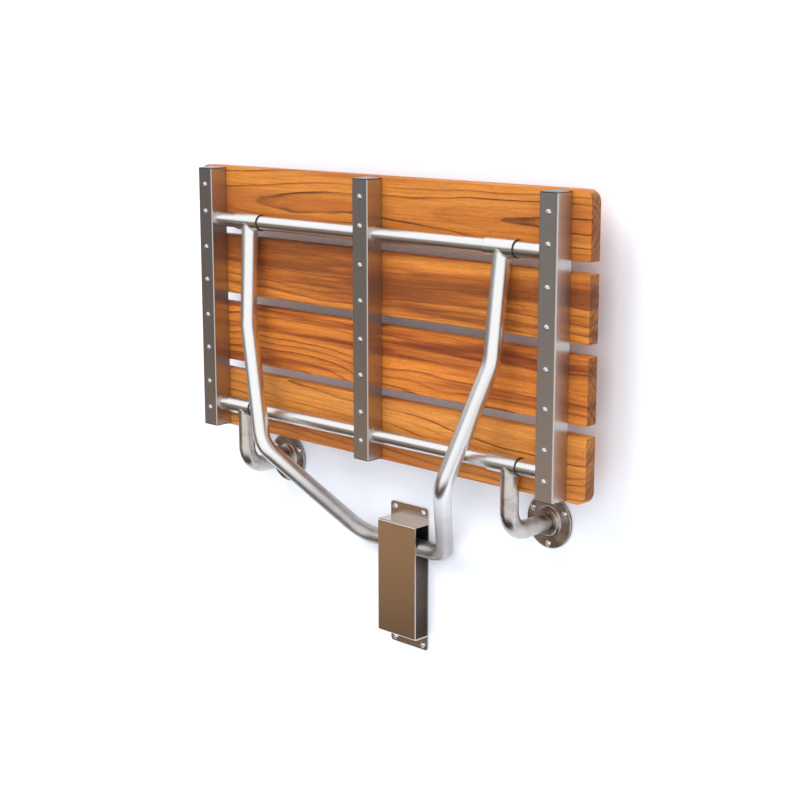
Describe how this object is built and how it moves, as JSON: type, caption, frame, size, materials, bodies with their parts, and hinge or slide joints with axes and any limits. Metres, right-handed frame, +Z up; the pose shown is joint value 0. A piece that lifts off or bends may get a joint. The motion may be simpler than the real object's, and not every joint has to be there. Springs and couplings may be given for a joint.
{
  "type": "wall-mounted folding shower seat",
  "caption": "Fold-up shower seat of teak slats on square steel rails, hinged on two wall elbows, with a bent tube leg that slides in a wall bracket.",
  "frame": {"origin": "centre of the four wall screws of the slide bracket, on the wall plane", "axes": "+X along the wall to the right as seen from the room, +Y into the wall, +Z up; the seat is folded up"},
  "size_m": [0.765, 0.1763, 0.7155],
  "materials": {
    "teak_front": "oiled",
    "teak_front_middle": "oiled",
    "teak_rear_middle": "oiled",
    "teak_rear": "oiled",
    "black_bush": "matt",
    "black_cap": "matt",
    "bracket_plate_steel": "brushed",
    "bracket_hood_steel": "brushed",
    "wall_screw_steel": "polished",
    "rail_screw_steel": "polished",
    "flange_steel": "pickled",
    "elbow_steel": "pickled",
    "rail_steel": "brushed",
    "tube_steel": "satin"
  },
  "bodies": {
    "wall_frame": {"bracket_back_plate": "bracket_plate_steel", "bracket_hood": "bracket_hood_steel", "bracket_screws": "wall_screw_steel", "left_wall_flange": "flange_steel", "right_wall_flange": "flange_steel", "left_flange_screws": "wall_screw_steel", "right_flange_screws": "wall_screw_steel", "left_elbow_arm": "elbow_steel", "right_elbow_arm": "elbow_steel", "left_hinge_sleeve": "elbow_steel", "right_hinge_sleeve": "elbow_steel", "left_hinge_bushes": "black_bush", "right_hinge_bushes": "black_bush"},
    "seat": {"front_slat": "teak_front", "front_middle_slat": "teak_front_middle", "rear_middle_slat": "teak_rear_middle", "rear_slat": "teak_rear", "left_rail": "rail_steel", "middle_rail": "rail_steel", "right_rail": "rail_steel", "left_rail_caps": "black_cap", "middle_rail_caps": "black_cap", "right_rail_caps": "black_cap", "left_rail_screws": "rail_screw_steel", "middle_rail_screws": "rail_screw_steel", "right_rail_screws": "rail_screw_steel", "left_leg_axle_tube": "tube_steel", "right_leg_axle_tube": "tube_steel", "left_hinge_tube": "tube_steel", "right_hinge_tube": "tube_steel"},
    "leg": {"left_leg_tube": "tube_steel", "right_leg_tube": "tube_steel", "left_leg_sleeve": "tube_steel", "right_leg_sleeve": "tube_steel", "left_leg_bushes": "black_bush", "right_leg_bushes": "black_bush"},
    "bar": {"cross_bar": "tube_steel"}
  },
  "joints": [
    {"name": "seat_fold", "type": "hinge", "parent": "wall_frame", "child": "seat", "pos_m": [0, -0.089, 0.235], "axis": [1, 0, 0], "range_deg": [0, 90]},
    {"name": "leg_swing", "type": "hinge", "parent": "seat", "child": "leg", "pos_m": [0, -0.089, 0.524], "axis": [1, 0, 0], "range_deg": [-49.3, 0]},
    {"name": "bar_slide", "type": "slide", "parent": "wall_frame", "child": "bar", "axis": [0, 0, 1], "range_m": [-0.12696, 0]}
  ],
  "couplings": [
    {"joint": "leg_swing", "follows": "seat_fold", "ratio": -0.54765},
    {"joint": "bar_slide", "follows": "seat_fold", "m_per_rad": -0.080765}
  ]
}
